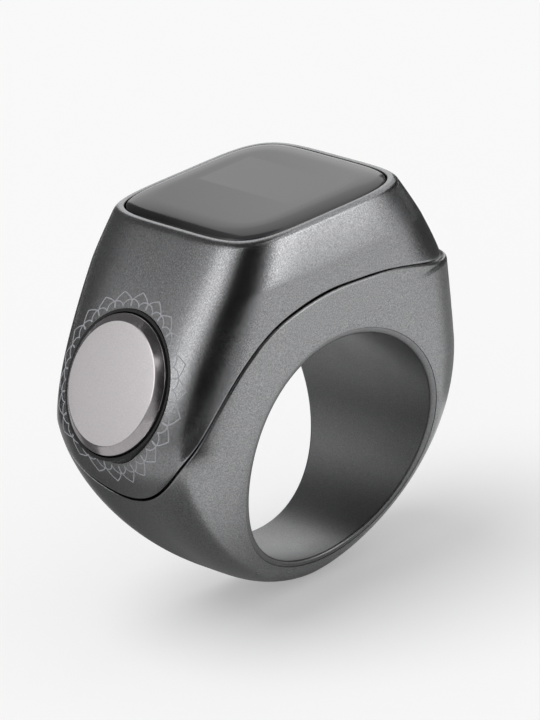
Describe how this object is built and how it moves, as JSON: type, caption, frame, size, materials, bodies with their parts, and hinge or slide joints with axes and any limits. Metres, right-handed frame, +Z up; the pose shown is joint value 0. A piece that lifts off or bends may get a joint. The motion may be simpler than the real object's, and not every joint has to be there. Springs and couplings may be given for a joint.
{
  "type": "digital tasbih counter ring",
  "caption": "Digital prayer counter worn as a finger ring, with a small display under domed glass and a push button on its side.",
  "frame": {"origin": "centre of the finger bore", "axes": "+Y along the finger bore, +Z up to the display, the push button on the -X side"},
  "size_m": [0.0334, 0.0202, 0.0336],
  "materials": {
    "band_metal": "satin gunmetal coating with a fine flake grain",
    "head_metal": "satin gunmetal coating with a fine flake grain",
    "liner_metal": "darker satin coating",
    "dark_glass": "polished dark glass",
    "adhesive": "matte black foam tape",
    "display_cell": "dark display glass",
    "flex_film": "amber polyimide film",
    "tray_plastic": "moulded black plastic",
    "board_laminate": "green solder mask",
    "chip_resin": "moulded black resin",
    "connector_plastic": "ivory plastic",
    "ceramic": "white ceramic",
    "cell_foil": "laminated foil pouch",
    "motor_steel": "drawn steel can",
    "weight_metal": "sintered heavy metal",
    "soft_rubber": "moulded rubber",
    "button_metal": "bead-blasted face with a polished bevel",
    "stem_steel": "turned steel",
    "bezel_black": "gloss black ring",
    "contact_gold": "gold plating",
    "magnet_nickel": "nickel plating"
  },
  "bodies": {
    "root": {"ring_band": "band_metal", "inner_liner": "liner_metal", "head_shell": "head_metal", "display_glass": "dark_glass", "glass_adhesive": "adhesive", "oled_panel": "display_cell", "display_flex": "flex_film", "display_tray": "tray_plastic", "main_board": "board_laminate", "processor_chip": "chip_resin", "board_chips": "chip_resin", "flex_connector": "connector_plastic", "chip_antenna": "ceramic", "battery_cell": "cell_foil", "battery_foam": "adhesive", "motor_can": "motor_steel", "motor_cradle": "soft_rubber", "button_bezel": "bezel_black", "stem_seal": "soft_rubber", "switch_body": "chip_resin", "switch_board": "board_laminate", "switch_flex": "flex_film", "charge_contacts": "contact_gold", "contact_holder": "tray_plastic", "charge_magnets": "magnet_nickel", "case_screws": "stem_steel"},
    "button": {"button_cap": "button_metal", "button_stem": "stem_steel", "stem_clip": "stem_steel"},
    "plunger": {"switch_plunger": "connector_plastic"},
    "rotor": {"motor_shaft": "motor_steel", "motor_weight": "weight_metal"}
  },
  "joints": [
    {"name": "button_press", "type": "slide", "parent": "root", "child": "button", "axis": [0.8788, 0, -0.4772], "range_m": [0, 0.0005], "stiffness_N_per_m": 600, "springref_m": -0.0003},
    {"name": "plunger_press", "type": "slide", "parent": "root", "child": "plunger", "axis": [0.8788, 0, -0.4772], "range_m": [0, 0.0005]},
    {"name": "motor_spin", "type": "hinge", "parent": "root", "child": "rotor", "pos_m": [-0.0065, 0, 0.0125], "axis": [0, 1, 0], "continuous": true}
  ],
  "couplings": [
    {"joint": "plunger_press", "follows": "button_press", "ratio": 1}
  ]
}
